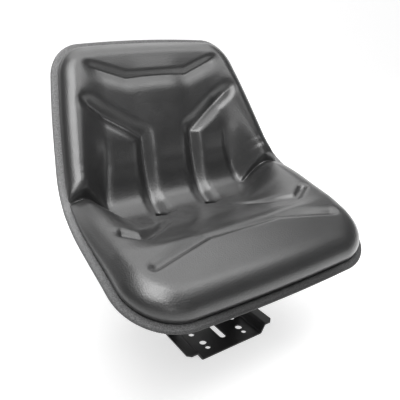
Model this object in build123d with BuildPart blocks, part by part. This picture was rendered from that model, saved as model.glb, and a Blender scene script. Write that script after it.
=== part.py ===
"""Tractor seat: a moulded cushion in a pressed bucket pan, with an edge trim around the rim,
on a folded riser and a hat-section base plate.

Millimetres, +Z up, the sitter faces -Y. The origin is the middle of the base plate's underside.
"""

import os
from math import cos, exp, hypot, pi, radians, sin, sqrt

from build123d import *

os.makedirs("parts", exist_ok=True)

# Rim line seen from the side: front edge, waist corner and top edge, as (Y, Z)
rim_front_y = -250.0
rim_front_z = 169.0
waist_y = 43.0
waist_z = 277.0
rim_top_y = 175.0
rim_top_z = 511.0
waist_radius = 125.0

# Rim outline seen from above (front corners) and from the front (tapering sides, top corners)
rim_half_width = 240.0
front_corner_radius = 94.0
top_corner_radius = 67.0
corner_clear = 0.6
front_bow = 3.0
top_bow = 4.0
# Sides of the rim, as (share of the rim's height, how far they stand in from the widest there)
rim_sides = (
    (0.0, 3.4),
    (0.11, 2.3),
    (0.21, 0.3),
    (0.315, 7.6),
    (0.42, 14.6),
    (0.665, 31.6),
    (0.857, 47.9),
    (1.0, 61.9),
)

# Pressed pan
pan_sheet = 2.0
pan_flange = 20.0
pan_front_setback = 36.0
pan_side_setback = 40.0
pan_top_setback = 28.0
pan_floor_z = 155.0
pan_heel_y = 97.0
pan_back_lean = 15.7
pan_toe_radius = 55.0
pan_heel_radius = 85.0
pan_head_radius = 42.0
pan_side_radius = 34.0

# Edge trim: U-profile over the pan's flange and the cushion's lip
trim_leg = 13.0
trim_wall = 1.8
trim_fit = 0.25

# Cushion
lip_sheet = 2.0
lip_reach = 24.0
cushion_fit = 0.3
cushion_foot = 1.5
front_roll = 44.0
side_roll = 30.0
top_roll = 28.0
roll_roundness = 2.25
side_swell = 3.4
crease_run = 24.0
crease_depth = 11.0
crease_width = 5.5
crease_bow = 7.0
crease_inner_x = 148.0
crease_middle_x = 188.0
column_crown = 4.5
column_half = 46.0
panel_crown = 3.0
panel_half = 42.0
panel_x = 108.0
drain_radius = 4.0
drain_spacing = 112.0
drain_ahead_of_crease = 11.0

# Cushion's form, as (place along the rim from the crease, height of bolsters, height of middle)
cushion_rows = (
    (-260.0, 46.0, 46.0),
    (-205.0, 45.5, 45.5),
    (-168.0, 43.0, 41.0),
    (-140.0, 39.0, 24.0),
    (-107.0, 34.0, 8.0),
    (-61.0, 28.0, -19.0),
    (-28.0, 22.0, -39.0),
    (-12.0, 17.0, -47.0),
    (0.0, 14.0, -50.0),
    (12.0, 18.0, -46.0),
    (28.0, 25.0, -33.0),
    (54.0, 30.0, -18.0),
    (104.0, 31.0, 0.0),
    (150.0, 31.0, 10.0),
    (190.0, 31.0, 18.0),
    (215.0, 30.0, 22.0),
    (240.0, 29.0, 26.0),
    (262.0, 29.0, 28.0),
    (300.0, 29.0, 28.0),
)

# Moulded channels on one half, as lines of (X, place along the rim from the crease)
head_channel = ((142.0, 248.0), (62.0, 214.0), (0.0, 214.0))
back_channel = ((164.0, 182.0), (54.0, 108.0), (56.0, -8.0))
rear_channel = ((194.0, -104.0), (158.0, -109.0), (74.0, -40.0))
front_channel = ((190.0, -186.0), (61.0, -166.0), (0.0, -166.0))

# Base plate
plate_length = 270.0
plate_web_width = 132.0
plate_sheet = 3.0
plate_rise = 16.0
plate_flare = 9.0
plate_flange = 20.0
plate_corner_cut = 7.0
plate_bend_radius = 3.0
row_a_spacing = 94.0
row_a_setback = 67.0
row_a_radius = 5.5
row_b_spacing = 82.0
row_b_setback = 37.0
row_b_radius = 6.75
row_c_spacing = 82.0
row_c_setback = 21.0
row_c_radius = 5.0
slot_width = 12.0
slot_length = 88.0
slot_setback = 27.0

# Riser
riser_sheet = 3.0
riser_bend_radius = 3.0
riser_web_front_y = -105.0
riser_web_rear_y = 32.0
riser_foot_front_y = -55.0
riser_foot_rear_y = 75.0

# M8 fasteners
bolt_radius = 4.0
bolt_hole_radius = 4.5
bolt_head_radius = 7.5
bolt_head_height = 5.3
washer_radius = 8.0
washer_sheet = 1.6
nut_height = 6.5
bolt_spare = 3.0
pan_bolt_spacing_x = 100.0
pan_bolt_spacing_y = 90.0
pan_bolt_y = -35.0
foot_bolt_spacing_y = 90.0
nut_pocket_gap = 1.5

# Sizes that follow from the ones above
reach = 700.0
plate_top_z = plate_rise + plate_sheet
plate_inner_half = plate_web_width / 2 + plate_flare
plate_half_width = plate_inner_half + plate_flange
riser_half = plate_inner_half + 1.0
riser_foot_y = (riser_foot_front_y + riser_foot_rear_y) / 2
foot_bolt_x = riser_half + riser_bend_radius + washer_radius
lip_top = cushion_fit + lip_sheet
trim_over = lip_top + trim_fit
trim_under = pan_sheet + trim_fit
flange_inset = trim_wall + trim_fit
pocket_depth = pan_sheet + nut_height + bolt_spare + nut_pocket_gap

with BuildLine(Plane.YZ) as rim:
    FilletPolyline(
        (rim_front_y, rim_front_z),
        (waist_y, waist_z),
        (rim_top_y, rim_top_z),
        radius=waist_radius,
    )
rim_wire = rim.wires()[0]
rim_length = rim_wire.length
seat_run = rim.edges().sort_by(Axis.Z)[0].length
crease_at = seat_run + crease_run
front_dir = (rim_wire @ 0.1 - rim_wire @ 0).normalized()
back_dir = (rim_wire @ 1 - rim_wire @ 0.9).normalized()
cushion_inset = trim_leg + cushion_fit
cushion_front = cushion_inset / front_dir.Y
cushion_top = rim_length - cushion_inset / back_dir.Z


def eased(place, rows, column):
    """Value of a column at a place, eased from row to row without overshoot."""
    place = min(max(place, rows[0][0]), rows[-1][0])
    index = max(i for i in range(len(rows) - 1) if rows[i][0] <= place)
    slopes = [(b[column] - a[column]) / (b[0] - a[0]) for a, b in zip(rows, rows[1:])]
    leans = [slopes[0]]
    for before, after in zip(slopes, slopes[1:]):
        leans.append(2 * before * after / (before + after) if before * after > 0 else 0.0)
    leans.append(slopes[-1])
    gap = rows[index + 1][0] - rows[index][0]
    t = (place - rows[index][0]) / gap
    return (
        (2 * t**3 - 3 * t**2 + 1) * rows[index][column]
        + (t**3 - 2 * t**2 + t) * gap * leans[index]
        + (3 * t**2 - 2 * t**3) * rows[index + 1][column]
        + (t**3 - t**2) * gap * leans[index + 1]
    )


def ease(t):
    """0 to 1 with level ends."""
    t = min(max(t, 0.0), 1.0)
    return t * t * (3 - 2 * t)


def meeting(start, along, other, other_along):
    """Point where two lines in the side view meet."""
    gap = other - start
    turn = along.Y * other_along.Z - along.Z * other_along.Y
    return start + along * ((gap.Y * other_along.Z - gap.Z * other_along.Y) / turn)


def inward(along):
    """Side-view direction square to a line, towards the sitter."""
    return Vector(0, -along.Z, along.Y)


def rim_plane(distance):
    """Plane square to the rim line, X across the seat and Y towards the sitter."""
    at = rim_wire.position_at(distance, PositionMode.LENGTH)
    along = rim_wire.tangent_at(distance, PositionMode.LENGTH)
    return Plane(origin=at, x_dir=(1, 0, 0), z_dir=-along)


def rim_band(low, high):
    """Side-view strip that follows the rim line, from low to high above it."""
    paths = []
    for level in (low, high):
        start = rim_wire @ 0 + inward(front_dir) * level - front_dir * pan_flange
        end = rim_wire @ 1 + inward(back_dir) * level + back_dir * pan_flange
        corner = meeting(start, front_dir, end, back_dir)
        paths.append([(p.Y, p.Z) for p in (start, corner, end)])
    with BuildSketch(Plane.YZ) as band:
        with BuildLine():
            lower = FilletPolyline(*paths[0], radius=waist_radius - low)
            upper = FilletPolyline(*paths[1], radius=waist_radius - high)
            Line(lower @ 0, upper @ 0)
            Line(lower @ 1, upper @ 1)
        make_face()
    return band.sketch


def over_rim(level):
    """Solid that fills the space on the sitter's side of the rim line, from level upwards."""
    start = rim_wire @ 0 + inward(front_dir) * level - front_dir * pan_flange
    end = rim_wire @ 1 + inward(back_dir) * level + back_dir * pan_flange
    corner = meeting(start, front_dir, end, back_dir)
    far_end = end + inward(back_dir) * reach
    far_start = start + inward(front_dir) * reach
    with BuildPart() as space:
        with BuildSketch(Plane.YZ):
            with BuildLine():
                path = [(p.Y, p.Z) for p in (start, corner, end)]
                FilletPolyline(*path, radius=waist_radius - level)
                Polyline(*[(p.Y, p.Z) for p in (end, far_end, far_start, start)])
            make_face()
        extrude(amount=reach, both=True)
    return space.part


def side_half(z):
    """Half width of the outline at height z."""
    share = (z - rim_front_z) / (rim_top_z - rim_front_z)
    return rim_half_width - eased(share, rim_sides, 1)


corner_y = rim_front_y + front_corner_radius
corner_half = side_half(rim_front_z + front_corner_radius * front_dir.Z / front_dir.Y) + corner_clear
corner_x = corner_half - front_corner_radius


def front_view(side, top, corner_radius=0):
    """Outline seen from the front and drawn behind the seat: its right side and its top line."""
    low = side @ 0
    with BuildSketch(Plane.XZ.offset(-reach)) as view:
        with BuildLine():
            add(side)
            mirror(side, about=Plane.YZ)
            add(top)
            Polyline((low.X, low.Y), (low.X, 0), (-low.X, 0), (-low.X, low.Y))
        make_face()
        if corner_radius:
            fillet(vertices().sort_by(Axis.Y)[-2:], radius=corner_radius)
    return view.sketch


def outline(inset):
    """Solid that cuts anything to the seat's outline, drawn in by inset."""
    front_y = rim_front_y + inset
    half = corner_half - inset
    turn = (front_corner_radius - inset) * sqrt(0.5)
    top_z = rim_top_z - inset
    top = side_half(top_z) - inset
    steps = 12
    heights = [rim_front_z + (top_z - rim_front_z) * i / steps for i in range(steps + 1)]
    view = front_view(
        Spline(*[(side_half(z) - inset, z) for z in heights]),
        ThreePointArc((top, top_z), (0, top_z + top_bow), (-top, top_z)),
        top_corner_radius - inset,
    )
    with BuildPart() as cutter:
        with BuildSketch(Plane.XY):
            with BuildLine():
                corner = ThreePointArc(
                    (corner_x, front_y), (corner_x + turn, corner_y - turn), (half, corner_y)
                )
                side = Line((half, corner_y), (reach, corner_y + reach))
                mirror(corner, about=Plane.YZ)
                mirror(side, about=Plane.YZ)
                ThreePointArc((-corner_x, front_y), (0, front_y - front_bow), (corner_x, front_y))
                Line((-reach, corner_y + reach), (reach, corner_y + reach))
            make_face()
        extrude(amount=reach)
        extrude(view, amount=2 * reach, mode=Mode.INTERSECT)
    return cutter.part


def tub(inset):
    """Solid inside of the pan's dish, drawn in by inset and carried on above the rim."""
    lean = radians(pan_back_lean)
    panel = Vector(0, sin(lean), cos(lean))
    floor = Vector(0, 1, 0)
    front = Vector(0, rim_front_y + pan_front_setback + inset, rim_top_z)
    floor_point = Vector(0, pan_heel_y, pan_floor_z + inset)
    panel_point = Vector(0, pan_heel_y, pan_floor_z) + inward(panel) * inset
    head_point = rim_wire @ 1 - back_dir * (pan_top_setback + inset)
    toe = Vector(0, front.Y, floor_point.Z)
    heel = meeting(floor_point, floor, panel_point, panel)
    head = meeting(panel_point, panel, head_point, inward(back_dir))
    crown = head + inward(back_dir) * reach / 4
    top_z = crown.Z + pan_flange
    half = rim_half_width - pan_side_setback - inset
    rise, taper = rim_top_z - waist_z, rim_half_width - side_half(rim_top_z)
    radius = (rise**2 + taper**2) / (2 * taper)
    low, bend, middle, top = [
        (half - radius + sqrt(radius**2 - max(z - waist_z, 0) ** 2), z)
        for z in (rim_front_z, waist_z, (waist_z + top_z) / 2, top_z)
    ]
    side = Line(low, bend) + ThreePointArc(bend, middle, top)
    sides = front_view(side, Line(top, (-top[0], top_z)))
    with BuildPart() as dish:
        with BuildSketch(Plane.YZ):
            with BuildLine():
                Polyline(*[(p.Y, p.Z) for p in (front, toe, heel, head, crown)], close=True)
            make_face()
            for corner, radius in (
                (toe, pan_toe_radius),
                (heel, pan_heel_radius),
                (head, pan_head_radius),
            ):
                vertex = vertices().sort_by_distance((corner.Y, corner.Z))[0]
                fillet(vertex, radius=radius - inset)
        extrude(amount=rim_half_width, both=True)
        extrude(sides, amount=2 * reach, mode=Mode.INTERSECT)
        across = faces().filter_by(lambda f: abs(f.normal_at().X) < 0.01)
        dish_edges = across.sort_by(Axis.Z)[:-1].edges().filter_by(
            lambda e: abs(e.center().X) > rim_half_width / 4
        )
        fillet(dish_edges, radius=pan_side_radius - inset)
    return dish.part


def cushion_half(distance):
    """Half width of the cushion's foot on the rim, with rounded corners at both ends."""
    spot = rim_plane(distance).origin
    half = side_half(spot.Z) - cushion_inset
    for run, radius in (
        (spot.Y - rim_front_y - cushion_inset, front_corner_radius - cushion_inset),
        (rim_top_z - cushion_inset - spot.Z, top_corner_radius - cushion_inset),
    ):
        if run < radius:
            half -= radius - sqrt(radius**2 - (radius - run) ** 2)
    return half


def channel(x, place, line, depth, near, far, fade, end_fade, widen=0.0):
    """Depth of a channel at a place: near and far are the widths of its two slopes."""
    lengths = [hypot(b[0] - a[0], b[1] - a[1]) for a, b in zip(line, line[1:])]
    best = None
    start = 0.0
    for a, b, length in zip(line, line[1:], lengths):
        along = ((x - a[0]) * (b[0] - a[0]) + (place - a[1]) * (b[1] - a[1])) / length
        along = min(max(along, 0.0), length)
        at = (a[0] + (b[0] - a[0]) * along / length, a[1] + (b[1] - a[1]) * along / length)
        away = hypot(x - at[0], place - at[1])
        turn = (b[0] - a[0]) * (place - a[1]) - (b[1] - a[1]) * (x - a[0])
        if best is None or away < best[0]:
            best = (away, turn, start + along)
        start += length
    away, turn, run = best
    width = (near if turn > 0 else far) * (1 + widen * ease(run / start))
    ends = ease((run + 2) / fade) * (ease((start - run + 2) / end_fade) if end_fade else 1.0)
    return depth * exp(-((away / width) ** 2.2)) * ends


def cushion_height(x, distance, half):
    """Height of the cushion above the rim line: bolsters, middle, crowns, folds and channels."""
    x = abs(x)
    place = distance - crease_at
    bow = 0.0
    if x > crease_inner_x:
        bow = crease_bow * (1 - ((x - crease_middle_x) / (crease_middle_x - crease_inner_x)) ** 2)
    crest = eased(place - max(bow, 0.0) * exp(-((place / 40) ** 2)), cushion_rows, 1)
    middle = eased(place, cushion_rows, 2)
    on_seat = ease((-place - 20) / 70)
    on_back = ease((place - 6) / 50)
    ridge = 20 + 8 * on_seat
    ramp = 54 + 42 * on_seat
    height = crest + (middle - crest) * ease((half - x - ridge) / ramp)
    height += column_crown * on_back * exp(-((x / column_half) ** 4)) * ease((250 - place) / 60)
    height += panel_crown * on_back * exp(-(((x - panel_x) / panel_half) ** 4)) * ease((150 - place) / 60)
    height -= crease_depth * exp(-abs(place - bow) / crease_width) * ease((x - crease_inner_x) / 28)
    height -= channel(x, place, head_channel, 10.0, 19.0, 8.0, 30, 0)
    height -= channel(x, place, front_channel, 6.0, 5.0, 16.0, 22, 0)
    height -= channel(x, place, back_channel, 12.0, 12.0, 9.0, 36, 8, 0.7)
    height -= channel(x, place, rear_channel, 7.0, 6.0, 11.0, 14, 60)
    front_share = ease((-place - 150) / 70)
    top_share = ease((place - 200) / 50)
    roll = side_roll + (front_roll - side_roll) * front_share + (top_roll - side_roll) * top_share
    edge = max(min(half - x, distance - cushion_front, cushion_top - distance), 0.0)
    rise = (1 - (1 - min(edge / roll, 1.0)) ** roll_roundness) ** (1 / roll_roundness)
    if height < cushion_foot:
        rise = ease(edge / side_roll)
    return cushion_foot + (height - cushion_foot) * rise


# Pan: the dish below the rim line, with the flange turned out around it
dish_outside = tub(0)
dish_inside = tub(pan_sheet)
drain_plane = rim_plane(crease_at - drain_ahead_of_crease)
drain_axis = Plane(origin=drain_plane.origin, x_dir=(1, 0, 0), z_dir=drain_plane.y_dir)
pan_bolt_spots = [
    (x * pan_bolt_spacing_x / 2, pan_bolt_y + y * pan_bolt_spacing_y / 2)
    for x in (-1, 1)
    for y in (-1, 1)
]
foot_bolt_spots = [
    (x * foot_bolt_x, riser_foot_y + y * foot_bolt_spacing_y / 2) for x in (-1, 1) for y in (-1, 1)
]

with BuildPart() as flange:
    extrude(rim_band(-pan_sheet, 0), amount=reach, both=True)
    add(outline(flange_inset), mode=Mode.INTERSECT)
    add(dish_inside, mode=Mode.SUBTRACT)

with BuildPart() as seat_pan:
    add(dish_outside)
    add(dish_inside, mode=Mode.SUBTRACT)
    add(over_rim(0), mode=Mode.SUBTRACT)
    add(flange.part)
    with BuildSketch(drain_axis):
        with GridLocations(drain_spacing, 0, 2, 1):
            Circle(drain_radius)
    extrude(amount=reach / 4, both=True, mode=Mode.SUBTRACT)
    with BuildSketch(Plane.XY.offset(pan_floor_z)):
        with Locations(*pan_bolt_spots):
            Circle(bolt_hole_radius)
    extrude(amount=pan_sheet, mode=Mode.SUBTRACT)

# Trim: a strip around the rim, slotted for the flange and the cushion's lip
with BuildPart() as trim_slot:
    extrude(rim_band(-trim_under, trim_over), amount=reach, both=True)
    add(outline(trim_wall), mode=Mode.INTERSECT)

with BuildPart() as edge_trim:
    extrude(rim_band(-trim_under - trim_wall, trim_over + trim_wall), amount=reach, both=True)
    add(outline(0), mode=Mode.INTERSECT)
    add(outline(trim_leg), mode=Mode.SUBTRACT)
    add(trim_slot.part, mode=Mode.SUBTRACT)

# Base plate: hat section, its front and rear ends alike
with BuildPart() as base_plate:
    with BuildSketch(Plane.XZ):
        with BuildLine():
            mid = plate_sheet / 2
            fold = FilletPolyline(
                (-plate_half_width, plate_rise + mid),
                (-plate_inner_half, plate_rise + mid),
                (-plate_web_width / 2, mid),
                (plate_web_width / 2, mid),
                (plate_inner_half, plate_rise + mid),
                (plate_half_width, plate_rise + mid),
                radius=plate_bend_radius + mid,
            )
        trace(fold, line_width=plate_sheet)
    extrude(amount=plate_length / 2, both=True)
    flange_ends = edges().filter_by(Axis.Z).group_by(SortBy.DISTANCE)[-1]
    chamfer(flange_ends, length=plate_corner_cut)
    with BuildSketch(Plane.XY):
        for spacing, setback, radius in (
            (row_a_spacing, row_a_setback, row_a_radius),
            (row_b_spacing, row_b_setback, row_b_radius),
            (row_c_spacing, row_c_setback, row_c_radius),
        ):
            with GridLocations(spacing, plate_length - 2 * setback, 2, 2):
                Circle(radius)
        with GridLocations(0, plate_length - 2 * slot_setback - slot_length, 1, 2):
            SlotOverall(slot_length, slot_width, rotation=90)
        with Locations(*foot_bolt_spots):
            Circle(bolt_hole_radius)
    extrude(amount=plate_top_z, mode=Mode.SUBTRACT)

# Riser: a folded channel that leans forward under the pan, with feet on the plate's flanges
with BuildPart() as seat_riser:
    with BuildSketch(Plane.XZ):
        with BuildLine():
            mid = riser_sheet / 2
            wall = riser_half - mid
            fold = FilletPolyline(
                (-plate_half_width, plate_top_z + mid),
                (-wall, plate_top_z + mid),
                (-wall, pan_floor_z - mid),
                (wall, pan_floor_z - mid),
                (wall, plate_top_z + mid),
                (plate_half_width, plate_top_z + mid),
                radius=riser_bend_radius + mid,
            )
        trace(fold, line_width=riser_sheet)
    extrude(amount=reach, both=True)
    with BuildSketch(Plane.YZ):
        with BuildLine():
            Polyline(
                (riser_foot_front_y, plate_top_z),
                (riser_foot_rear_y, plate_top_z),
                (riser_web_rear_y, pan_floor_z),
                (riser_web_front_y, pan_floor_z),
                close=True,
            )
        make_face()
    extrude(amount=reach, both=True, mode=Mode.INTERSECT)
    with BuildSketch(Plane.XY):
        with Locations(*foot_bolt_spots):
            Circle(bolt_hole_radius)
        with Locations(*pan_bolt_spots):
            Circle(bolt_hole_radius)
    extrude(amount=pan_floor_z, mode=Mode.SUBTRACT)

# Cushion: sections square to the rim line, kept inside the dish and above the flange
with BuildPart() as cushion_room:
    add(over_rim(cushion_fit))
    add(tub(pan_sheet + cushion_fit))

with BuildPart() as trim_room:
    extrude(rim_band(0, trim_over + trim_wall + cushion_fit), amount=reach, both=True)
    add(outline(cushion_inset), mode=Mode.SUBTRACT)

with BuildPart() as cushion_lip:
    extrude(rim_band(cushion_fit, lip_top), amount=reach, both=True)
    add(outline(flange_inset), mode=Mode.INTERSECT)
    add(outline(trim_leg + lip_reach), mode=Mode.SUBTRACT)

# Stations of the cushion's sections: close together at its ends and at the crease
end_steps = (0.3, 2.5, 8.0, 16.0, 28.0, 42.0, 58.0)
stations = [cushion_front + step for step in end_steps]
stations += [cushion_top - step for step in end_steps]
stations += [crease_at + place for place in (-14.0, -5.0, 1.0, 7.0, 14.0)]
steps = 28
first, last = cushion_front + end_steps[-1], cushion_top - end_steps[-1]
for i in range(1, steps):
    distance = first + (last - first) * i / steps
    if min(abs(distance - other) for other in stations) > (last - first) / steps / 2:
        stations.append(distance)
stations.sort()
edge_steps = (0.0, 1.0, 4.5, 11.0, 20.0)
across_steps = 32

with BuildPart() as cushion:
    for distance in stations:
        half = cushion_half(distance)
        over = []
        for step in edge_steps:
            height = cushion_height(half - step, distance, half)
            share = min(max(height, 0.0) / 30, 1.0)
            over.append((half - step + side_swell * sin(pi * share), height))
        inside = half - edge_steps[-1]
        for i in range(1, across_steps):
            x = inside - 2 * inside * i / across_steps
            over.append((x, cushion_height(x, distance, half)))
        over += [(-x, height) for x, height in reversed(over[: len(edge_steps)])]
        with BuildSketch(rim_plane(distance)):
            with BuildLine():
                Spline(*over)
                Polyline(over[-1], (-half, -reach / 5), (half, -reach / 5), over[0])
            make_face()
    loft(ruled=True)
    add(cushion_room.part, mode=Mode.INTERSECT)
    add(trim_room.part, mode=Mode.SUBTRACT)
    add(cushion_lip.part)

    with BuildSketch(drain_axis):
        with GridLocations(drain_spacing, 0, 2, 1):
            Circle(drain_radius)
    extrude(amount=reach / 4, both=True, mode=Mode.SUBTRACT)
    with BuildSketch(Plane.XY.offset(pan_floor_z)):
        with Locations(*pan_bolt_spots):
            Circle(bolt_head_radius + nut_pocket_gap)
    extrude(amount=pocket_depth, mode=Mode.SUBTRACT)

# Fasteners: riser to pan, with nuts welded inside the pan
with BuildPart() as weld_nuts:
    with BuildSketch(Plane.XY.offset(pan_floor_z + pan_sheet)):
        with Locations(*pan_bolt_spots):
            RegularPolygon(bolt_head_radius, 6)
            Circle(bolt_radius, mode=Mode.SUBTRACT)
    extrude(amount=nut_height)

with BuildPart() as pan_washers:
    with BuildSketch(Plane.XY.offset(pan_floor_z - riser_sheet - washer_sheet)):
        with Locations(*pan_bolt_spots):
            Circle(washer_radius)
            Circle(bolt_hole_radius, mode=Mode.SUBTRACT)
    extrude(amount=washer_sheet)

with BuildPart() as pan_bolts:
    head_z = pan_floor_z - riser_sheet - washer_sheet
    with BuildSketch(Plane.XY.offset(head_z)):
        with Locations(*pan_bolt_spots):
            RegularPolygon(bolt_head_radius, 6)
    extrude(amount=-bolt_head_height)
    with BuildSketch(Plane.XY.offset(head_z)):
        with Locations(*pan_bolt_spots):
            Circle(bolt_radius)
    extrude(amount=washer_sheet + riser_sheet + pan_sheet + nut_height + bolt_spare)

# Fasteners: riser feet to base plate
with BuildPart() as foot_nuts:
    with BuildSketch(Plane.XY.offset(plate_rise)):
        with Locations(*foot_bolt_spots):
            RegularPolygon(bolt_head_radius, 6)
            Circle(bolt_radius, mode=Mode.SUBTRACT)
    extrude(amount=-nut_height)

with BuildPart() as foot_washers:
    with BuildSketch(Plane.XY.offset(plate_top_z + riser_sheet)):
        with Locations(*foot_bolt_spots):
            Circle(washer_radius)
            Circle(bolt_hole_radius, mode=Mode.SUBTRACT)
    extrude(amount=washer_sheet)

with BuildPart() as foot_bolts:
    head_z = plate_top_z + riser_sheet + washer_sheet
    with BuildSketch(Plane.XY.offset(head_z)):
        with Locations(*foot_bolt_spots):
            RegularPolygon(bolt_head_radius, 6)
    extrude(amount=bolt_head_height)
    with BuildSketch(Plane.XY.offset(head_z)):
        with Locations(*foot_bolt_spots):
            Circle(bolt_radius)
    extrude(amount=-(washer_sheet + riser_sheet + plate_sheet + nut_height + bolt_spare))

pieces = {
    "cushion": cushion,
    "seat_pan": seat_pan,
    "edge_trim": edge_trim,
    "base_plate": base_plate,
    "seat_riser": seat_riser,
    "weld_nuts": weld_nuts,
    "pan_washers": pan_washers,
    "pan_bolts": pan_bolts,
    "foot_nuts": foot_nuts,
    "foot_washers": foot_washers,
    "foot_bolts": foot_bolts,
}
for name, piece in pieces.items():
    piece.part.label = name
    print(name, round(piece.part.volume), piece.part.is_valid, len(piece.part.solids()))
    export_step(piece.part, f"parts/{name}.step")
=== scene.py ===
# %% [markdown]
# # A tractor seat, dressed in Blender
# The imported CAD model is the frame: a moulded cushion in a pressed pan, an edge trim round the rim,
# and a folded base plate under it. Steel pieces keep their CAD shape and get a paint or a zinc finish.
# The cushion and its trim are soft, so they are made again here on the same rim line, in a finer form.

# %% Load the frame
import math

import bpy
import numpy as np
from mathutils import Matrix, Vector


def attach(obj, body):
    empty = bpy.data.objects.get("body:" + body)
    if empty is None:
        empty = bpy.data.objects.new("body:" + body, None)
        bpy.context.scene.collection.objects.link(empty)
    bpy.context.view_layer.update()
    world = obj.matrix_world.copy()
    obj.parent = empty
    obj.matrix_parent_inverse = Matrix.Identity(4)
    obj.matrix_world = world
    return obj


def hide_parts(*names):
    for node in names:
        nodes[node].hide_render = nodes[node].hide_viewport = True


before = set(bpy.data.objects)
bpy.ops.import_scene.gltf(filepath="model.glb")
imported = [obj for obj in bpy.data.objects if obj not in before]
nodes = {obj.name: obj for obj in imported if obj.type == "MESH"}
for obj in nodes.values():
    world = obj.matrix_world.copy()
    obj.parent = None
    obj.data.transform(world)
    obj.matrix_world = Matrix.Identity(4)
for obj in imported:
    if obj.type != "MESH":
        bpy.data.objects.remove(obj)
scene = bpy.context.scene
scene.view_settings.view_transform = "Standard"
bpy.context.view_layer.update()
print("nodes:", sorted(nodes))

# %% [markdown]
# ## The camera
# The seat is seen from the front and from the sitter's right-hand side, a little from above. A camera
# can be aimed with a constraint, but plain values are easier to read: its place, its azimuth
# and its elevation, with no roll. The lens length follows from the focal length in pixels.

# %% Camera
VIEW_AZIMUTH = -0.5831
VIEW_ELEVATION = 0.3745
CAMERA_PLACE = (-0.42883, -0.67644, 0.55566)
FOCAL_PIXELS = 465.0
FRAME_PIXELS = 400.0
SENSOR = 36.0

camera = bpy.data.objects.new("Camera", bpy.data.cameras.new("Camera"))
camera.data.sensor_width = SENSOR
camera.data.lens = SENSOR * FOCAL_PIXELS / FRAME_PIXELS
camera.data.clip_start = 0.01
camera.location = CAMERA_PLACE
camera.rotation_euler = (math.pi / 2 - VIEW_ELEVATION, 0, VIEW_AZIMUTH)
scene.collection.objects.link(camera)
scene.camera = camera
print("camera lens:", round(camera.data.lens, 2))

# %% [markdown]
# ## The rim line
# Everything soft hangs on one line: the rim seen from the side, straight along the seat, bent at the
# waist, and straight up the back. A place on the seat is given by x across, s along that line, and d
# above it, so the cushion can be drawn as a flat map and then bent into its bucket shape.

# %% Rim line and outline, in millimetres
MM = 0.001
RIM_FRONT = np.array((-250.0, 169.0))
WAIST = np.array((43.0, 277.0))
RIM_TOP = np.array((175.0, 511.0))
WAIST_RADIUS = 125.0
RIM_HALF = 240.0
FRONT_CORNER = 94.0
TOP_CORNER = 67.0
FRONT_BOW = 3.0
TOP_BOW = 4.0
BOW_RUN = 120.0
CREASE_RUN = 24.0
# Share of the rim's height, and how far the rim stands in from its widest there
RIM_SIDES = np.array((
    (0.0, 3.4), (0.11, 2.3), (0.21, 0.3), (0.315, 7.6), (0.42, 14.6),
    (0.665, 31.6), (0.857, 47.9), (1.0, 61.9),
))

seat_dir = (WAIST - RIM_FRONT) / np.linalg.norm(WAIST - RIM_FRONT)
back_dir = (RIM_TOP - WAIST) / np.linalg.norm(RIM_TOP - WAIST)
bend = math.acos(float(seat_dir @ back_dir))
tangent = WAIST_RADIUS * math.tan(bend / 2)
SEAT_RUN = float(np.linalg.norm(WAIST - RIM_FRONT)) - tangent
BEND_RUN = WAIST_RADIUS * bend
RIM_LENGTH = SEAT_RUN + BEND_RUN + float(np.linalg.norm(RIM_TOP - WAIST)) - tangent
CREASE = SEAT_RUN + CREASE_RUN
print("seat run", round(SEAT_RUN, 1), "bend run", round(BEND_RUN, 1), "bend", round(math.degrees(bend), 1))


# %% Smooth tables and steps
def eased(places, table):
    """Smooth curve through the table's rows, with no overshoot."""
    x = table[:, 0]
    out = []
    for column in range(1, table.shape[1]):
        y = table[:, column]
        slope = np.diff(y) / np.diff(x)
        m = np.zeros_like(y)
        same = slope[:-1] * slope[1:] > 0
        m[1:-1][same] = 2 * slope[:-1][same] * slope[1:][same] / (slope[:-1] + slope[1:])[same]
        m[0], m[-1] = slope[0], slope[-1]
        i = np.clip(np.searchsorted(x, places) - 1, 0, len(x) - 2)
        gap = x[i + 1] - x[i]
        t = np.clip((places - x[i]) / gap, 0, 1)
        out.append((2 * t**3 - 3 * t**2 + 1) * y[i] + (t**3 - 2 * t**2 + t) * gap * m[i]
                   + (3 * t**2 - 2 * t**3) * y[i + 1] + (t**3 - t**2) * gap * m[i + 1])
    return out


def smooth(t):
    t = np.clip(t, 0, 1)
    return t * t * (3 - 2 * t)


print("smooth step at a quarter:", smooth(0.25))


# %% From the flat map to the bucket
def rim_frame(s):
    """Side-view points, directions along and square to the rim line, for an array of s."""
    s = np.asarray(s, float)
    turn = np.clip((s - SEAT_RUN) / WAIST_RADIUS, 0, bend)
    lean = math.atan2(seat_dir[1], seat_dir[0]) + turn
    along = np.stack((np.cos(lean), np.sin(lean)), -1)
    square = np.stack((-np.sin(lean), np.cos(lean)), -1)
    bend_start = RIM_FRONT + seat_dir * SEAT_RUN
    first_square = np.array((-seat_dir[1], seat_dir[0]))
    centre = bend_start + first_square * WAIST_RADIUS
    on_seat = RIM_FRONT + seat_dir * np.minimum(s, SEAT_RUN)[..., None]
    on_bend = centre - square * WAIST_RADIUS
    past = np.maximum(s - SEAT_RUN - BEND_RUN, 0)[..., None]
    point = np.where((s < SEAT_RUN)[..., None], on_seat, on_bend + along * past)
    return point, along, square


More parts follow.
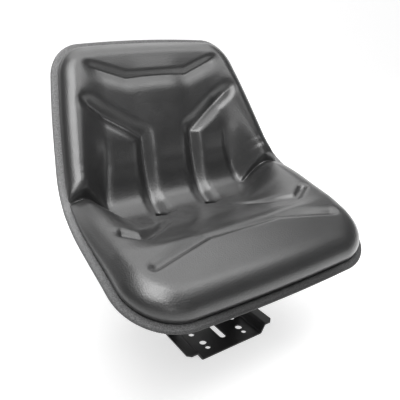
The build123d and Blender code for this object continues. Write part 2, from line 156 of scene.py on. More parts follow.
def bent(x, s, d):
    """Points in metres, from the flat map's x across, s along the rim line and d above it."""
    x, s = np.broadcast_arrays(np.asarray(x, float), np.asarray(s, float))
    front = FRONT_BOW * np.maximum(1 - (x / CORNER_X) ** 2, 0) * smooth(1 - s / BOW_RUN)
    top = TOP_BOW * np.maximum(1 - (x / TOP_X) ** 2, 0) * smooth(1 - (RIM_LENGTH - s) / BOW_RUN)
    point, _, square = rim_frame(s - front + top)
    side = point + square * np.asarray(d)[..., None]
    return np.stack((np.broadcast_to(x, side.shape[:-1]), side[..., 0], side[..., 1]), -1) * MM


def side_half(z):
    """Half width of the rim at height z."""
    share = (np.asarray(z, float) - RIM_FRONT[1]) / (RIM_TOP[1] - RIM_FRONT[1])
    return RIM_HALF - eased(np.clip(share, 0, 1), RIM_SIDES)[0]


corner_z = RIM_FRONT[1] + FRONT_CORNER * seat_dir[1] / seat_dir[0]
CORNER_X = float(side_half(corner_z)) - FRONT_CORNER
side_z = np.linspace(RIM_TOP[1] - 2 * TOP_CORNER, RIM_TOP[1], 2001)
side_lean = np.arctan(-np.gradient(side_half(side_z), side_z))
top_gap = side_z + TOP_CORNER * (1 - np.sin(side_lean)) - RIM_TOP[1]
top_touch = int(np.argmin(np.abs(top_gap)))
TOP_X = float(side_half(side_z[top_touch]) - TOP_CORNER * np.cos(side_lean[top_touch]))
print("corners start at", round(CORNER_X, 1), "in front and", round(TOP_X, 1), "at the top")


# %% The rim's outline on the flat map
def half_outline():
    """Right half of the rim on the flat map, from the front middle to the top middle."""
    run = np.linspace(0, RIM_LENGTH, 6001)
    point, _, _ = rim_frame(run)
    corner_y = RIM_FRONT[0] + FRONT_CORNER
    turn = np.linspace(-math.pi / 2, 0, 120)
    front = np.stack((CORNER_X + FRONT_CORNER * np.cos(turn),
                      np.interp(corner_y + FRONT_CORNER * np.sin(turn), point[:, 0], run)), -1)
    top_z = RIM_TOP[1] - TOP_CORNER
    turn = np.linspace(side_lean[top_touch], math.pi / 2, 90)
    top = np.stack((TOP_X + TOP_CORNER * np.cos(turn),
                    np.interp(top_z + TOP_CORNER * np.sin(turn), point[:, 1], run)), -1)
    side_s = np.linspace(front[-1, 1], top[0, 1], 260)[1:-1]
    side = np.stack((side_half(rim_frame(side_s)[0][:, 1]), side_s), -1)
    return np.concatenate(([[0.0, 0.0]], front, side, top, [[0.0, RIM_LENGTH]]))


def spaced(line, steps):
    """The same line with steps points, spread evenly along it."""
    gap = np.linalg.norm(np.diff(line, axis=0), axis=1)
    run = np.concatenate(([0], np.cumsum(gap)))
    places = np.linspace(0, run[-1], steps)
    return np.stack([np.interp(places, run, line[:, k]) for k in range(line.shape[1])], -1)


def drawn_in(line, inset):
    """A half outline drawn in by inset, square to itself on the flat map."""
    along = np.gradient(line, axis=0)
    along /= np.linalg.norm(along, axis=1)[:, None]
    inner = line + inset * np.stack((-along[:, 1], along[:, 0]), -1)
    inner[0, 0] = inner[-1, 0] = 0.0
    return inner


rim_half = spaced(half_outline(), 1400)
print("rim length:", round(RIM_LENGTH, 1), "crease at", round(CREASE, 1),
      "widest", round(2 * rim_half[:, 0].max(), 1))

# %% [markdown]
# ## Helpers for meshes
# A mesh is a list of points and a list of faces. Every finished piece sits at the origin with its
# place in its own points, so patterns on Object coordinates stay where they are.

# %% Mesh helpers
def make_mesh(name, points, faces, material=None, smooth=True):
    mesh = bpy.data.meshes.new(name)
    mesh.from_pydata([tuple(p) for p in points], [], [tuple(f) for f in faces])
    if material is not None:
        mesh.materials.append(material)
    if smooth:
        mesh.polygons.foreach_set("use_smooth", [True] * len(mesh.polygons))
    mesh.update()
    obj = bpy.data.objects.new(name, mesh)
    scene.collection.objects.link(obj)
    return obj


def grid_faces(rows, columns, start=0, flip=False):
    """Quads of a grid of rows times columns points, numbered row by row from start."""
    r, c = np.meshgrid(np.arange(rows - 1), np.arange(columns - 1), indexing="ij")
    a = start + r * columns + c
    quads = np.stack((a, a + 1, a + columns + 1, a + columns), -1).reshape(-1, 4)
    return quads[:, ::-1] if flip else quads


print("a grid of 3 by 3 points has", len(grid_faces(3, 3)), "faces")

# %% [markdown]
# ## Finishes
# The cushion's skin is black vinyl with a fine pebble grain, the trim is a grained plastic, the steel is
# sprayed satin black with a little orange peel, and the fasteners are zinc plated. Grain could come
# from pictures, but noise and cell nodes on Object coordinates need none and stay sharp close up.
# So each finish is a small node tree, and a short class keeps the calls that build it easy to read.

# %% Material helpers
class Finish:
    """A material with its shader, and short calls to add and join nodes."""

    def __init__(self, name, colour, roughness, metallic=0.0, specular=0.5):
        self.material = bpy.data.materials.new(name)
        self.material.use_nodes = True
        self.tree = self.material.node_tree
        self.shader = self.tree.nodes["Principled BSDF"]
        self.shader.inputs["Base Color"].default_value = (*colour, 1)
        self.shader.inputs["Roughness"].default_value = roughness
        self.shader.inputs["Metallic"].default_value = metallic
        self.shader.inputs["Specular IOR Level"].default_value = specular
        self.place = self.node("ShaderNodeTexCoord").outputs["Object"]

    def node(self, kind, **settings):
        made = self.tree.nodes.new(kind)
        for key, value in settings.items():
            setattr(made, key, value)
        return made

    def link(self, source, target):
        self.tree.links.new(source, target)

    def noise(self, scale, detail=3.0, roughness=0.5):
        made = self.node("ShaderNodeTexNoise")
        made.inputs["Scale"].default_value = scale
        made.inputs["Detail"].default_value = detail
        made.inputs["Roughness"].default_value = roughness
        self.link(self.place, made.inputs["Vector"])
        return made.outputs["Fac"]

    def cells(self, scale, feature="F1"):
        made = self.node("ShaderNodeTexVoronoi", feature=feature)
        made.inputs["Scale"].default_value = scale
        self.link(self.place, made.inputs["Vector"])
        return made.outputs["Distance"]

    def span(self, value, low, high, to_low, to_high):
        made = self.node("ShaderNodeMapRange")
        for key, number in (("From Min", low), ("From Max", high), ("To Min", to_low), ("To Max", to_high)):
            made.inputs[key].default_value = number
        self.link(value, made.inputs["Value"])
        return made.outputs["Result"]

    def maths(self, operation, *values):
        made = self.node("ShaderNodeMath", operation=operation)
        for value, socket in zip(values, made.inputs):
            self.link(value, socket)
        return made.outputs["Value"]

    def tones(self, value, *stops):
        made = self.node("ShaderNodeValToRGB")
        ramp = made.color_ramp.elements
        for i, (place, colour) in enumerate(stops):
            stop = ramp[i] if i < 2 else ramp.new(place)
            stop.position = place
            stop.color = (*colour, 1)
        self.link(value, made.inputs["Fac"])
        return made.outputs["Color"]

    def bump(self, height, strength, depth, under=None):
        made = self.node("ShaderNodeBump")
        made.inputs["Strength"].default_value = strength
        made.inputs["Distance"].default_value = depth
        self.link(height, made.inputs["Height"])
        if under is not None:
            self.link(under, made.inputs["Normal"])
        return made.outputs["Normal"]

    def into(self, source, socket):
        self.link(source, self.shader.inputs[socket])


def grey(value):
    return (value, value, value * 1.01)


print("a dark grey:", grey(0.02))

# %% [markdown]
# ### Vinyl and trim
# The vinyl shines softly through a clear coat over a rougher base. Inside the drains it is painted nearly
# black and dull, a painted shade for the deep holes, by a point attribute that the cushion's mesh carries.
# The trim's tone is painted paler at the sides and at the back and darker at the front, painted light and
# shade from how the lamps fall, so its tone follows x and z.

# %% Vinyl
vinyl = Finish("black_vinyl", grey(0.018), 0.42, specular=0.75)
vinyl.shader.inputs["Coat Weight"].default_value = 1.0
vinyl.shader.inputs["Coat Roughness"].default_value = 0.27
patches = vinyl.noise(9.0, 4.0)
# Painted shade: inside the drains the vinyl is painted nearly black, and its coat is taken away
drain_shade_mask = vinyl.node("ShaderNodeAttribute", attribute_name="painted_drain_shade").outputs["Fac"]
shaded = vinyl.node("ShaderNodeMix", data_type="RGBA")
shaded.inputs["B"].default_value = (*grey(0.002), 1)
vinyl.link(drain_shade_mask, shaded.inputs["Factor"])
vinyl.link(vinyl.tones(patches, (0.3, grey(0.015)), (0.7, grey(0.021))), shaded.inputs["A"])
vinyl.into(shaded.outputs["Result"], "Base Color")
vinyl.into(vinyl.span(drain_shade_mask, 0.0, 1.0, 1.0, 0.0), "Coat Weight")
worn = vinyl.span(vinyl.noise(60.0, 4.0), 0.3, 0.7, 0.38, 0.46)
vinyl.into(vinyl.maths("MAXIMUM", worn, drain_shade_mask), "Roughness")
pebbles = vinyl.bump(vinyl.cells(480.0, "SMOOTH_F1"), 0.50, 0.0007)
drape = vinyl.bump(vinyl.noise(26.0, 2.0), 0.08, 0.003, pebbles)
vinyl.into(drape, "Normal")
print(vinyl.material.name, "has", len(vinyl.tree.nodes), "nodes")

# %% Trim
edging = Finish("grained_edging", grey(0.22), 0.62)
grain = edging.tones(edging.cells(760.0), (0.1, grey(0.34)), (0.62, grey(0.13)))
axes = edging.node("ShaderNodeSeparateXYZ")
edging.link(edging.place, axes.inputs["Vector"])
# Painted light and shade: the trim's colour is made paler at the sides and back and darker at the front,
# for how the lamps fall on it
sideways = edging.maths("ABSOLUTE", axes.outputs["X"])
lit_sides_tone = edging.span(sideways, 0.10, 0.23, 0.17, 0.60)
lit_back_tone = edging.span(axes.outputs["Z"], 0.19, 0.28, 0.0, 0.55)
painted_light_mix = edging.node("ShaderNodeMix", data_type="RGBA", blend_type="MULTIPLY")
painted_light_mix.inputs["Factor"].default_value = 1.0
edging.link(grain, painted_light_mix.inputs["A"])
edging.link(edging.maths("ADD", lit_sides_tone, lit_back_tone), painted_light_mix.inputs["B"])
edging.into(painted_light_mix.outputs["Result"], "Base Color")
edging.into(edging.span(edging.noise(90.0), 0.3, 0.7, 0.52, 0.68), "Roughness")
edging.into(edging.bump(edging.cells(760.0), 0.5, 0.0008), "Normal")
print(edging.material.name, "has", len(edging.tree.nodes), "nodes")


# %% Sprayed paint and zinc
def sprayed(name, tone, roughness):
    paint = Finish(name, grey(tone), roughness)
    dust = paint.noise(14.0, 5.0)
    paint.into(paint.tones(dust, (0.3, grey(tone * 0.8)), (0.75, grey(tone * 1.5))), "Base Color")
    sheen = paint.span(paint.noise(40.0, 4.0), 0.3, 0.7, roughness - 0.06, roughness + 0.08)
    paint.into(sheen, "Roughness")
    paint.into(paint.bump(paint.noise(420.0, 2.0), 0.06, 0.0005), "Normal")
    return paint


pan_paint = sprayed("pan_satin_black", 0.022, 0.46)
frame_paint = sprayed("bracket_satin_black", 0.024, 0.40)

zinc = Finish("zinc_plate", (0.62, 0.63, 0.66), 0.33, metallic=1.0)
spangle = zinc.noise(120.0, 4.0)
zinc.into(zinc.tones(spangle, (0.3, (0.52, 0.53, 0.56)), (0.7, (0.68, 0.69, 0.71))), "Base Color")
zinc.into(zinc.span(zinc.noise(300.0, 3.0), 0.3, 0.7, 0.26, 0.42), "Roughness")
print("finishes:", [f.material.name for f in (vinyl, edging, pan_paint, frame_paint, zinc)])

# %% [markdown]
# ## Steel pieces
# The pan, the riser, the base plate and the fasteners already have their shape. Only the material
# in their slots changes.

# %% Dress the steel
STEEL = {
    "seat_pan": pan_paint,
    "base_plate": frame_paint,
    "seat_riser": frame_paint,
    "weld_nuts": zinc,
    "pan_washers": zinc,
    "pan_bolts": zinc,
    "foot_nuts": zinc,
    "foot_washers": zinc,
    "foot_bolts": zinc,
}
for name, finish in STEEL.items():
    piece = nodes[name]
    if not piece.material_slots:
        piece.data.materials.append(finish.material)
    for slot in piece.material_slots:
        slot.material = finish.material
    print(name, "->", finish.material.name)

# %% [markdown]
# ## The cushion
# One moulded foam piece with a vinyl skin. It could be sculpted, but its form follows rules: heights
# of bolsters and middle along the rim line, edges that roll over, and moulded channels along lines.
# So it is a height map over the flat outline, bent onto the rim line, with a hidden underside that
# closes it.

# %% Cushion: heights along the rim line
TRIM_LEG = 13.0
CUSHION_GAP = 0.2
FRONT_HEIGHT = 46.0
HEAD_HEIGHT = 29.0
# Level top of the bolsters, and the slope from there to the middle: on the back, then on the seat
RIDGE_BACK, RIDGE_SEAT = 21.0, 28.0
RAMP_BACK, RAMP_SEAT = 60.0, 96.0
# Raised panels of the back: height, distance from the middle, half width
LUMBAR_RISE, LUMBAR_HALF = 4.5, 46.0
PANEL_RISE, PANEL_AT, PANEL_HALF = 5.0, 104.0, 40.0
# The fold at the waist: depth, and how fast it fades up the back and along the seat
FOLD_DEPTH, FOLD_BACK, FOLD_SEAT = 17.0, 3.4, 8.0
# The fold bows up the back: by how much, where across the seat, and over what half width
BOW_RISE, BOW_AT, BOW_HALF = 7.0, 188.0, 34.0
# Wrinkles above the fold: place from the crease, depth
WRINKLES = ((22, 1.5), (42, 1.3), (61, 0.8))

# Place from the crease, height of the bolsters, height of the middle
CUSHION_ROWS = np.array((
    (-260.0, FRONT_HEIGHT, FRONT_HEIGHT),
    (-205.0, 45.5, 45.5),
    (-168.0, 43.0, 41.0),
    (-140.0, 39.0, 24.0),
    (-107.0, 34.0, 8.0),
    (-61.0, 28.0, -21.0),
    (-34.0, 23.0, -36.0),
    (-14.0, 18.0, -42.0),
    (0.0, 17.0, -42.5),
    (10.0, 24.0, -40.5),
    (28.0, 29.5, -33.0),
    (54.0, 31.0, -19.0),
    (104.0, 31.0, 0.0),
    (150.0, 31.0, 10.0),
    (190.0, 31.0, 18.0),
    (215.0, 30.0, 22.0),
    (240.0, 29.0, 26.0),
    (262.0, HEAD_HEIGHT, 28.0),
    (300.0, HEAD_HEIGHT, 28.0),
))
print("middle lies between", CUSHION_ROWS[:, 2].min(), "and", CUSHION_ROWS[:, 2].max(), "mm")


# %% Cushion: distance to a line
def along_line(x, p, line):
    """Distance from each place to a line, the side it lies on, the run to there, and the line's length."""
    best = np.full(x.shape, 1e9)
    run_at = np.zeros(x.shape)
    side = np.zeros(x.shape)
    start_run = 0.0
    line = np.array(line)
    for a, b in zip(line[:-1], line[1:]):
        span = b - a
        length = np.linalg.norm(span)
        t = np.clip(((x - a[0]) * span[0] + (p - a[1]) * span[1]) / length**2, 0, 1)
        away = np.hypot(x - a[0] - t * span[0], p - a[1] - t * span[1])
        nearer = away < best
        turn = span[0] * (p - a[1]) - span[1] * (x - a[0])
        best = np.where(nearer, away, best)
        side = np.where(nearer, np.sign(turn), side)
        run_at = np.where(nearer, start_run + t * length, run_at)
        start_run += length
    return best, side, run_at, start_run


# %% Cushion: moulded channels, as places on the flat map from the crease
CHANNELS = {
    "head": [(-146, 241), (-63, 210), (63, 210), (146, 241)],
    "front": [(-188, -206), (-70, -172), (70, -172), (188, -206)],
}
SIDE_CHANNELS = {
    "back": [(166, 181), (53, 105), (55, -33)],
    "rear_seat": [(190, -113), (156, -133), (62, -62)],
    "bolster": [(128, 122), (131, 60), (139, 30), (152, 0)],
}
DRAIN_X, DRAIN_P = 55.0, -24.0
# The last radius is the reach of the drains' painted shade
DRAIN_DEPTH, DRAIN_RADIUS, DRAIN_SHADE_RADIUS = 30.0, 8.4, 10.0
print("channels:", sorted(CHANNELS) + sorted(SIDE_CHANNELS))


def channel(x, p, line, depth, near, far, taper_start, taper_end, floor=(1.5, 1.5), flat=0.0):
    """Depth of one channel between pillowed sides: near and far are the widths of its left and right
    slopes, floor the radius of its floor at its start and end, and flat the floor's level width."""
    away, side, run, length = along_line(x, p, line)
    away = np.maximum(away - flat / 2, 0)
    radius = floor[0] + (floor[1] - floor[0]) * smooth(run / length)
    slope = (np.hypot(away, radius) - radius) / np.where(side > 0, near, far)
    ends = smooth((run + 2) / taper_start) * smooth((length - run + 2) / taper_end)
    return depth * np.clip(1 - slope, 0, 1) ** 2 * ends


# %% Cushion: height over the flat map
def cushion_height(x, p, half):
    """Height above the rim line over the whole flat map, before the edges roll over."""
    ax = np.abs(x)
    crease_bow = BOW_RISE * (1 - ((ax - BOW_AT) / BOW_HALF) ** 2) * (ax > 150)
    crest, _ = eased(p - np.clip(crease_bow, 0, 9) * np.exp(-(p / 40) ** 2), CUSHION_ROWS)
    _, middle = eased(p, CUSHION_ROWS)
    on_seat = smooth((-p + 8) / 70)
    ridge = RIDGE_BACK + (RIDGE_SEAT - RIDGE_BACK) * on_seat
    ramp = RAMP_BACK + (RAMP_SEAT - RAMP_BACK) * on_seat
    t = (half - ax - ridge) / ramp
    height = crest + (middle - crest) * smooth(t)
    on_back = smooth((p - 6) / 50)
    lumbar = np.exp(-((ax / LUMBAR_HALF) ** 4)) * smooth((250 - p) / 60)
    panel = np.exp(-(((ax - PANEL_AT) / PANEL_HALF) ** 4)) * smooth((150 - p) / 60)
    height += LUMBAR_RISE * on_back * lumbar
    height += PANEL_RISE * on_back * panel
    beyond = p - crease_bow
    fade = np.where(beyond > 0, FOLD_BACK, FOLD_SEAT)
    height -= FOLD_DEPTH * np.exp(-np.abs(beyond) / fade) * smooth((ax - 140) / 26)
    for wrinkle_at, wrinkle_depth in WRINKLES:
        wrinkle = np.exp(-((p - wrinkle_at - 0.15 * (ax - 175)) / 7) ** 2)
        wrinkle *= smooth((ax - 132) / 30) * smooth((half - ax - 8) / 26)
        height -= wrinkle_depth * wrinkle * np.where(x > 0, 1.0, 0.4)
    height -= channel(x, p, CHANNELS["head"], depth=7.5, near=12.0, far=30.0,
                      taper_start=36, taper_end=36)
    height -= channel(x, p, CHANNELS["front"], depth=6.5, near=46 - 28 * smooth((ax - 40) / 130), far=9.0,
                      taper_start=20, taper_end=20, floor=(2.0, 2.0))
    height -= channel(ax, p, SIDE_CHANNELS["back"], depth=13.0, near=20.0, far=24.0,
                      taper_start=34, taper_end=14, floor=(1.5, 8.0))
    height -= channel(ax, p, SIDE_CHANNELS["rear_seat"], depth=8.0, near=8.0, far=12.0,
                      taper_start=8, taper_end=50, floor=(1.5, 3.0), flat=5.0)
    height -= channel(ax, p, SIDE_CHANNELS["bolster"], depth=3.5, near=16.0, far=14.0,
                      taper_start=50, taper_end=16, floor=(3.0, 3.0))
    drain = np.hypot(ax - DRAIN_X, p - DRAIN_P)
    height -= DRAIN_DEPTH * np.exp(-((drain / DRAIN_RADIUS) ** 6))
    return height


middle_seat = cushion_height(np.zeros(1), np.zeros(1), np.full(1, RIM_HALF))[0]
print("height in the middle at the crease:", round(float(middle_seat), 1))


# %% Cushion: a grid that is finer at the edges, the crease and the drains
def spread(low, high, steps, density):
    """Places from low to high, closer together where density is larger."""
    fine_places = np.linspace(low, high, 4001)
    total = np.concatenate(([0], np.cumsum((density(fine_places[1:]) + density(fine_places[:-1])) / 2)))
    return np.interp(np.linspace(0, total[-1], steps), total, fine_places)


edge_half = drawn_in(rim_half, TRIM_LEG + CUSHION_GAP)
edge_s = edge_half[:, 1]
s_low, s_high = edge_s[0], edge_s[-1]
rising = np.maximum.accumulate(edge_s)
keep = np.concatenate(([True], np.diff(rising) > 1e-6))


def half_at(s):
    """Half width of the cushion's foot along the rim line."""
    return np.interp(s, edge_s[keep], edge_half[keep, 0])


ROWS, COLUMNS = 232, 185
rows_s = spread(s_low, s_high, ROWS, lambda s: (
    1 + 5 * np.exp(-(s - s_low) / 5) + 5 * np.exp(-(s_high - s) / 5)
    + 1.6 * np.exp(-((s - CREASE - DRAIN_P) / 9) ** 2) + 1.0 * np.exp(-((s - CREASE) / 16) ** 2)))
share = spread(-1, 1, COLUMNS, lambda u: (
    1 + 4 * np.exp(-(1 - np.abs(u)) / 0.03) + 2.2 * np.exp(-((np.abs(u) - 0.26) / 0.035) ** 2)))
front_straight = edge_half[np.argmax(np.diff(edge_s) > 0.02), 0]
row_half = np.maximum(half_at(rows_s), 1.0)
row_half[0] = max(row_half[0], front_straight)
flat_x = row_half[:, None] * share[None, :]
flat_s = np.repeat(rows_s[:, None], COLUMNS, 1)
print("grid:", ROWS, "by", COLUMNS, "points")

# %% Cushion: distance to its outline
ring = np.concatenate((edge_half, edge_half[::-1] * (-1, 1)))
ring = spaced(np.concatenate((ring, ring[:1])), 900)[:-1]


def edge_distance(x, s):
    """Distance to the cushion's outline, and the direction towards it, on the flat map."""
    flat = np.stack((x.ravel(), s.ravel()), -1)
    best = np.full(len(flat), 1e9)
    foot = np.zeros_like(flat)
    ends = np.roll(ring, -1, axis=0)
    for a, b in zip(ring, ends):
        span = b - a
        t = np.clip(((flat - a) @ span) / (span @ span), 0, 1)
        spot = a + t[:, None] * span
        away = np.hypot(*(flat - spot).T)
        nearer = away < best
        best[nearer] = away[nearer]
        foot[nearer] = spot[nearer]
    out = foot - flat
    size = np.hypot(*out.T)
    out /= np.maximum(size, 1e-6)[:, None]
    return best.reshape(x.shape), out.reshape(*x.shape, 2)


edge, outward = edge_distance(flat_x, flat_s)
border = np.zeros(edge.shape, bool)
border[[0, -1], :] = True
border[:, [0, -1]] = True
edge[border] = 0.0
print("farthest from the edge:", round(float(edge.max()), 1), "mm")

# %% Cushion: rolled edges, then the bend into the bucket
# Width of the rolled edge, what it gains in front and loses at the top, and how square it is
ROLL, FRONT_ROLL, TOP_ROLL, ROLL_POWER = 30, 14, 2, 2.25
SWELL, FRONT_SWELL = 3.4, 1.6
UNDER_DEPTH, UNDER_RUN = 34, 70
FOOT = 1.5

place = flat_s - CREASE
height = cushion_height(flat_x, place, row_half[:, None])
front_share = smooth((-place - 150) / 70)
top_share = smooth((place - 200) / 50)
roll = ROLL + FRONT_ROLL * front_share - TOP_ROLL * top_share
t = np.clip(edge / roll, 0, 1)
rise = (1 - (1 - t) ** ROLL_POWER) ** (1 / ROLL_POWER)
height = FOOT + (height - FOOT) * np.where(height > FOOT, rise, smooth(edge / 26))
swell = (SWELL + FRONT_SWELL * front_share) * np.sin(math.pi * np.clip(rise, 0, 1)) * (1 - t)
over_x = flat_x + outward[..., 0] * swell
over_s = flat_s + outward[..., 1] * swell
top_points = bent(over_x, over_s, height).reshape(-1, 3)
under_points = bent(flat_x, flat_s, height - UNDER_DEPTH * smooth(edge / UNDER_RUN)).reshape(-1, 3)
print("cushion stands", round(float(height.max()), 1), "mm above the rim line at most")

# %% Cushion: the closed mesh
inner = ~border.ravel()
under_index = np.where(inner, 0, np.arange(border.size))
under_index[inner] = border.size + np.arange(inner.sum())
faces = grid_faces(ROWS, COLUMNS)
under_faces = under_index[faces[:, ::-1]]
cushion = make_mesh("cushion_skin", np.concatenate((top_points, under_points[inner])),
                    np.concatenate((faces, under_faces)), vinyl.material)
# Point attribute for the drains' painted shade: 1 inside the holes, 0 elsewhere
drain_away = np.hypot(np.abs(flat_x) - DRAIN_X, place - DRAIN_P)
painted_drain_shade = np.concatenate((np.exp(-((drain_away / DRAIN_SHADE_RADIUS) ** 10)).ravel(), np.zeros(inner.sum())))
cushion.data.attributes.new("painted_drain_shade", "FLOAT", "POINT").data.foreach_set("value", painted_drain_shade)
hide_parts("cushion")
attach(cushion, "root")
print("cushion:", len(cushion.data.polygons), "faces")

# %% [markdown]
# ## The edge trim
# A grained plastic edging, U-shaped, is pushed over the pan's rim and meets itself at the front in a
# butt joint. Where it goes round the front corners its legs crimp. It follows a path, so a Geometry
# Nodes tree sweeps its section along the rim and then pushes the crimps in.

# %% Edge trim: path and section
TRIM_WALL = 1.8
TRIM_OVER = 2.55
TRIM_UNDER = 2.25
JOINT_GAP = 0.7
CRIMP_PITCH = 3.6
CRIMP_DEPTH = 0.28

fine_half = spaced(half_outline(), 3200)
whole = np.concatenate((fine_half, fine_half[::-1][1:] * (-1, 1)))
gap = np.linalg.norm(np.diff(whole, axis=0), axis=1)
run = np.concatenate(([0], np.cumsum(gap)))


def in_corner(places):
    """1 where the path turns round a front corner, else 0."""
    from_front = np.minimum(places, run[-1] - places)
    return smooth((from_front - 150) / 25) * smooth((300 - from_front) / 25)


places = spread(JOINT_GAP / 2, run[-1] - JOINT_GAP / 2, 1150, lambda r: 1 + 4.5 * in_corner(r))
path = np.stack([np.interp(places, run, whole[:, k]) for k in range(2)], -1)
path_points = bent(path[:, 0], path[:, 1], np.zeros(len(path)))
path_square = np.concatenate((np.zeros((len(path), 1)), rim_frame(path[:, 1])[2]), 1)
crimp = in_corner(places) * (np.sin(2 * math.pi * places / CRIMP_PITCH) - 1) / 2


def trim_section():
    """Closed U-section as (inset from the rim's edge, height above the rim line)."""
    top, bottom = TRIM_OVER + TRIM_WALL, -TRIM_UNDER - TRIM_WALL
    radius = (top - bottom) / 2
    middle = (top + bottom) / 2
    turn = np.linspace(math.pi / 2, -math.pi / 2, 13)
    nose = [(radius - radius * math.cos(a), middle + radius * math.sin(a)) for a in turn]
    lip = 0.7
    over = [(TRIM_LEG, top - lip), (TRIM_LEG - lip, top), (11.0, top + 0.15), (8.0, top + 0.1)]
    under = [(8.0, bottom), (12.0, bottom), (TRIM_LEG - lip, bottom), (TRIM_LEG, bottom + lip)]
    slot = [(TRIM_LEG, -TRIM_UNDER), (TRIM_WALL + 1, -TRIM_UNDER), (TRIM_WALL, -TRIM_UNDER + 1),
            (TRIM_WALL, TRIM_OVER - 1), (TRIM_WALL + 1, TRIM_OVER), (TRIM_LEG, TRIM_OVER)]
    return over + nose + under + slot


section = np.array(trim_section()) * MM
print("trim path:", len(path_points), "points, section:", len(section))


# %% Edge trim: path and section as line objects
def line_object(name, points, closed=False):
    mesh = bpy.data.meshes.new(name)
    count = len(points)
    links = [(i, i + 1) for i in range(count - 1)] + ([(count - 1, 0)] if closed else [])
    mesh.from_pydata([tuple(p) for p in points], links, [])
    obj = bpy.data.objects.new(name, mesh)
    scene.collection.objects.link(obj)
    return obj


trim_path = line_object("trim_path", path_points)
square = trim_path.data.attributes.new("square", "FLOAT_VECTOR", "POINT")
square.data.foreach_set("vector", path_square.ravel())
dent = trim_path.data.attributes.new("crimp", "FLOAT", "POINT")
dent.data.foreach_set("value", crimp)
flat_section = np.stack((section[:, 1], -section[:, 0], np.zeros(len(section))), -1)
trim_profile = line_object("trim_profile", flat_section, closed=True)
print("lines:", trim_path.name, trim_profile.name)


# %% Edge trim: the sweep tree
def sweep_tree(name):
    tree = bpy.data.node_groups.new(name, "GeometryNodeTree")
    tree.interface.new_socket("Path", in_out="INPUT", socket_type="NodeSocketGeometry")
    tree.interface.new_socket("Section", in_out="INPUT", socket_type="NodeSocketObject")
    tree.interface.new_socket("Crimp Depth", in_out="INPUT", socket_type="NodeSocketFloat")
    tree.interface.new_socket("Finish", in_out="INPUT", socket_type="NodeSocketMaterial")
    tree.interface.new_socket("Geometry", in_out="OUTPUT", socket_type="NodeSocketGeometry")
    add, link = tree.nodes.new, tree.links.new
    given, made = add("NodeGroupInput"), add("NodeGroupOutput")

    path_curve = add("GeometryNodeMeshToCurve")
    link(given.outputs["Path"], path_curve.inputs["Mesh"])
    up = add("GeometryNodeInputNamedAttribute")
    up.data_type = "FLOAT_VECTOR"
    up.inputs["Name"].default_value = "square"
    upright = add("GeometryNodeSetCurveNormal")
    upright.mode = "FREE"
    link(path_curve.outputs["Curve"], upright.inputs["Curve"])
    link(up.outputs["Attribute"], upright.inputs["Normal"])

    profile = add("GeometryNodeObjectInfo")
    link(given.outputs["Section"], profile.inputs["Object"])
    profile_curve = add("GeometryNodeMeshToCurve")
    link(profile.outputs["Geometry"], profile_curve.inputs["Mesh"])

    swept = add("GeometryNodeCurveToMesh")
    swept.inputs["Fill Caps"].default_value = True
    link(upright.outputs["Curve"], swept.inputs["Curve"])
    link(profile_curve.outputs["Curve"], swept.inputs["Profile Curve"])

    dents = add("GeometryNodeInputNamedAttribute")
    dents.data_type = "FLOAT"
    dents.inputs["Name"].default_value = "crimp"
    normal = add("GeometryNodeInputNormal")
    push = add("ShaderNodeVectorMath")
    push.operation = "SCALE"
    link(normal.outputs["Normal"], push.inputs[0])
    deep = add("ShaderNodeMath")
    deep.operation = "MULTIPLY"
    link(dents.outputs["Attribute"], deep.inputs[0])
    link(given.outputs["Crimp Depth"], deep.inputs[1])
    link(deep.outputs["Value"], push.inputs["Scale"])
    crimped = add("GeometryNodeSetPosition")
    link(swept.outputs["Mesh"], crimped.inputs["Geometry"])
    link(push.outputs["Vector"], crimped.inputs["Offset"])

    shaded = add("GeometryNodeSetShadeSmooth")
    link(crimped.outputs["Geometry"], shaded.inputs["Geometry"])
    real = add("GeometryNodeRealizeInstances")
    link(shaded.outputs["Geometry"], real.inputs["Geometry"])
    painted = add("GeometryNodeSetMaterial")
    link(real.outputs["Geometry"], painted.inputs["Geometry"])
    link(given.outputs["Finish"], painted.inputs["Material"])
    link(painted.outputs["Geometry"], made.inputs["Geometry"])
    return tree


trim_sweep = sweep_tree("trim_sweep")
print("sweep tree:", len(trim_sweep.nodes), "nodes")


# %% Edge trim: grow it and keep a plain mesh
def grown(carrier, tree, values, name):
    """Runs a tree on a carrier object and keeps the result as a plain mesh object."""
    modifier = carrier.modifiers.new("grow", "NODES")
    modifier.node_group = tree
    for item in tree.interface.items_tree:
        if item.in_out == "INPUT" and item.name in values:
            modifier[item.identifier] = values[item.name]
    ready = carrier.evaluated_get(bpy.context.evaluated_depsgraph_get())
    mesh = bpy.data.meshes.new_from_object(ready)
    mesh.name = name
    obj = bpy.data.objects.new(name, mesh)
    scene.collection.objects.link(obj)
    carrier.modifiers.remove(modifier)
    return obj


trim = grown(trim_path, trim_sweep, {
    "Section": trim_profile, "Crimp Depth": CRIMP_DEPTH * MM, "Finish": edging.material,
}, "edge_trim_soft")
for helper in (trim_path, trim_profile):
    bpy.data.objects.remove(helper)
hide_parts("edge_trim")
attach(trim, "root")
trim_low = [min(v.co[k] for v in trim.data.vertices) for k in range(3)]
trim_high = [max(v.co[k] for v in trim.data.vertices) for k in range(3)]
print("trim:", len(trim.data.polygons), "faces", [round(v, 3) for v in trim_low + trim_high])

# %% [markdown]
# ## Floor, backdrop and light
# A pale floor runs up into a backdrop behind the seat. The key lamp stands tall at the front left, a
# wide lamp hangs overhead, a weak one fills from the right and a small narrow one picks out the ridges
# of the back. The floor's colour and its glow are painted darker towards the front left, out of the
# picture, a painted shade that the vinyl reflects as its darker bands between the highlights. A floor could
# be lit until it is white, but that would bleach the seat too, so it glows by itself for the rays that show
# it, and keeps the shadow.

# %% Floor and backdrop
FLOOR_TONE, FRONT_SHADE_TONE = 0.62, 0.32
FLOOR_GLOW, FRONT_SHADE_GLOW = 0.9, 0.28
TO_THE_BACK = (0.84, 0.55, 0.4)

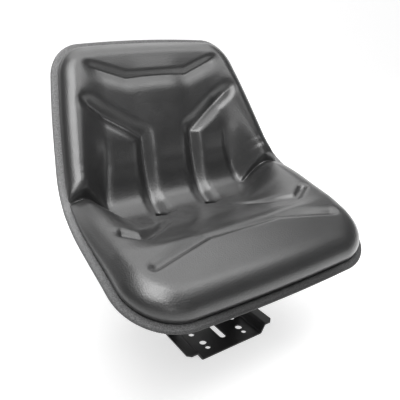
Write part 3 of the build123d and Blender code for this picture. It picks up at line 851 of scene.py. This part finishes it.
sweep_profile = [(-6.0, 0.0)] + [(2.2 + 0.9 * math.sin(a), 0.9 - 0.9 * math.cos(a))
                                 for a in np.linspace(0, math.pi / 2, 16)] + [(3.1, 4.2)]
sweep_points = [(x, y, z) for y, z in sweep_profile for x in (-9.0, 9.0)]
pale = Finish("pale_floor", (FLOOR_TONE,) * 3, 0.9, specular=0.1)
pale.shader.inputs["Emission Color"].default_value = (1, 1, 1, 1)
reach = pale.node("ShaderNodeVectorMath", operation="DOT_PRODUCT")
reach.inputs[1].default_value = TO_THE_BACK
pale.link(pale.place, reach.inputs[0])
far_back = reach.outputs["Value"]
# Painted shade: the floor's colour and glow fall off towards the front left
pale.into(pale.span(far_back, -0.8, -0.2, FRONT_SHADE_TONE, FLOOR_TONE), "Base Color")
rays = pale.node("ShaderNodeLightPath").outputs
seen = pale.maths("MAXIMUM", rays["Is Camera Ray"], rays["Is Glossy Ray"])
seen = pale.maths("MAXIMUM", seen, rays["Is Transmission Ray"])
glow = pale.span(far_back, -0.9, 0.5, FRONT_SHADE_GLOW, FLOOR_GLOW)
pale.into(pale.maths("MULTIPLY", seen, glow), "Emission Strength")
floor = make_mesh("floor", sweep_points, grid_faces(len(sweep_profile), 2), pale.material)
print("floor:", len(floor.data.polygons), "faces")


# %% Lamps and room
def softbox(name, place, target, size, power, spread=180):
    lamp = bpy.data.lights.new(name, "AREA")
    lamp.shape = "RECTANGLE"
    lamp.size, lamp.size_y = size
    lamp.energy = power
    lamp.spread = math.radians(spread)
    obj = bpy.data.objects.new(name, lamp)
    obj.location = place
    obj.rotation_euler = (Vector(target) - Vector(place)).to_track_quat("-Z", "Y").to_euler()
    scene.collection.objects.link(obj)
    return obj


MIDDLE = (0.0, 0.0, 0.3)
BACKREST = (0.10, 0.15, 0.52)
ROOM_TONE = (0.09, 0.09, 0.092)
softbox("key", (-0.80, -0.78, 1.66), MIDDLE, (1.05, 1.4), 27)
softbox("overhead", (0.35, 0.05, 2.20), MIDDLE, (2.6, 2.2), 34)
softbox("right_fill", (0.80, -1.10, 1.95), MIDDLE, (1.4, 0.9), 6)
softbox("front_fill", (-0.70, -1.55, 0.66), BACKREST, (0.4, 0.6), 0.1, spread=30)

world = bpy.data.worlds.new("room")
world.use_nodes = True
room = world.node_tree.nodes["Background"]
room.inputs["Color"].default_value = (*ROOM_TONE, 1)
room.inputs["Strength"].default_value = 1.0
scene.world = world
